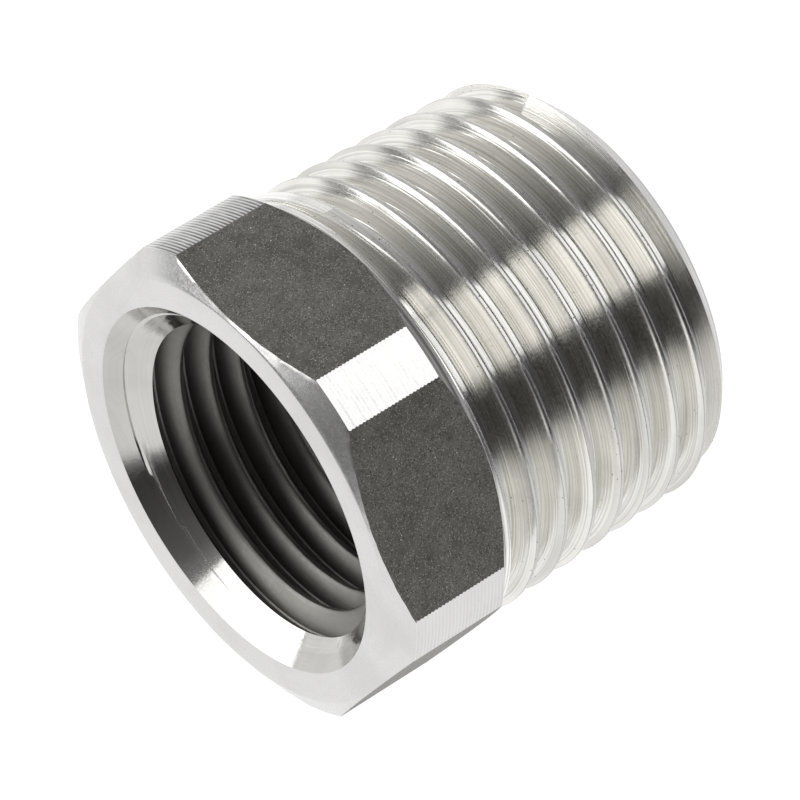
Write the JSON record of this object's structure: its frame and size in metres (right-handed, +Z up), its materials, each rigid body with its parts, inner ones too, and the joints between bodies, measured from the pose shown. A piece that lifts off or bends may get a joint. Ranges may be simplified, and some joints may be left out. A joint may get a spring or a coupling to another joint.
{
  "type": "hex bushing",
  "caption": "Steel hexagon reducing bush with a taper male thread and a smaller parallel female thread, countersunk at both ends.",
  "frame": {"origin": "on the axis of the two threads, at half the bush's length", "axes": "+X along the axis from the hexagon's face to the small end of the male thread; +Z up, square to the hexagon's upper flat; the bush lies on the opposite flat"},
  "size_m": [0.0164, 0.0186, 0.017],
  "materials": {
    "turned_steel": "bright turned, with dull grey drawn flats"
  },
  "bodies": {
    "root": {"bushing": "turned_steel"}
  },
  "joints": []
}
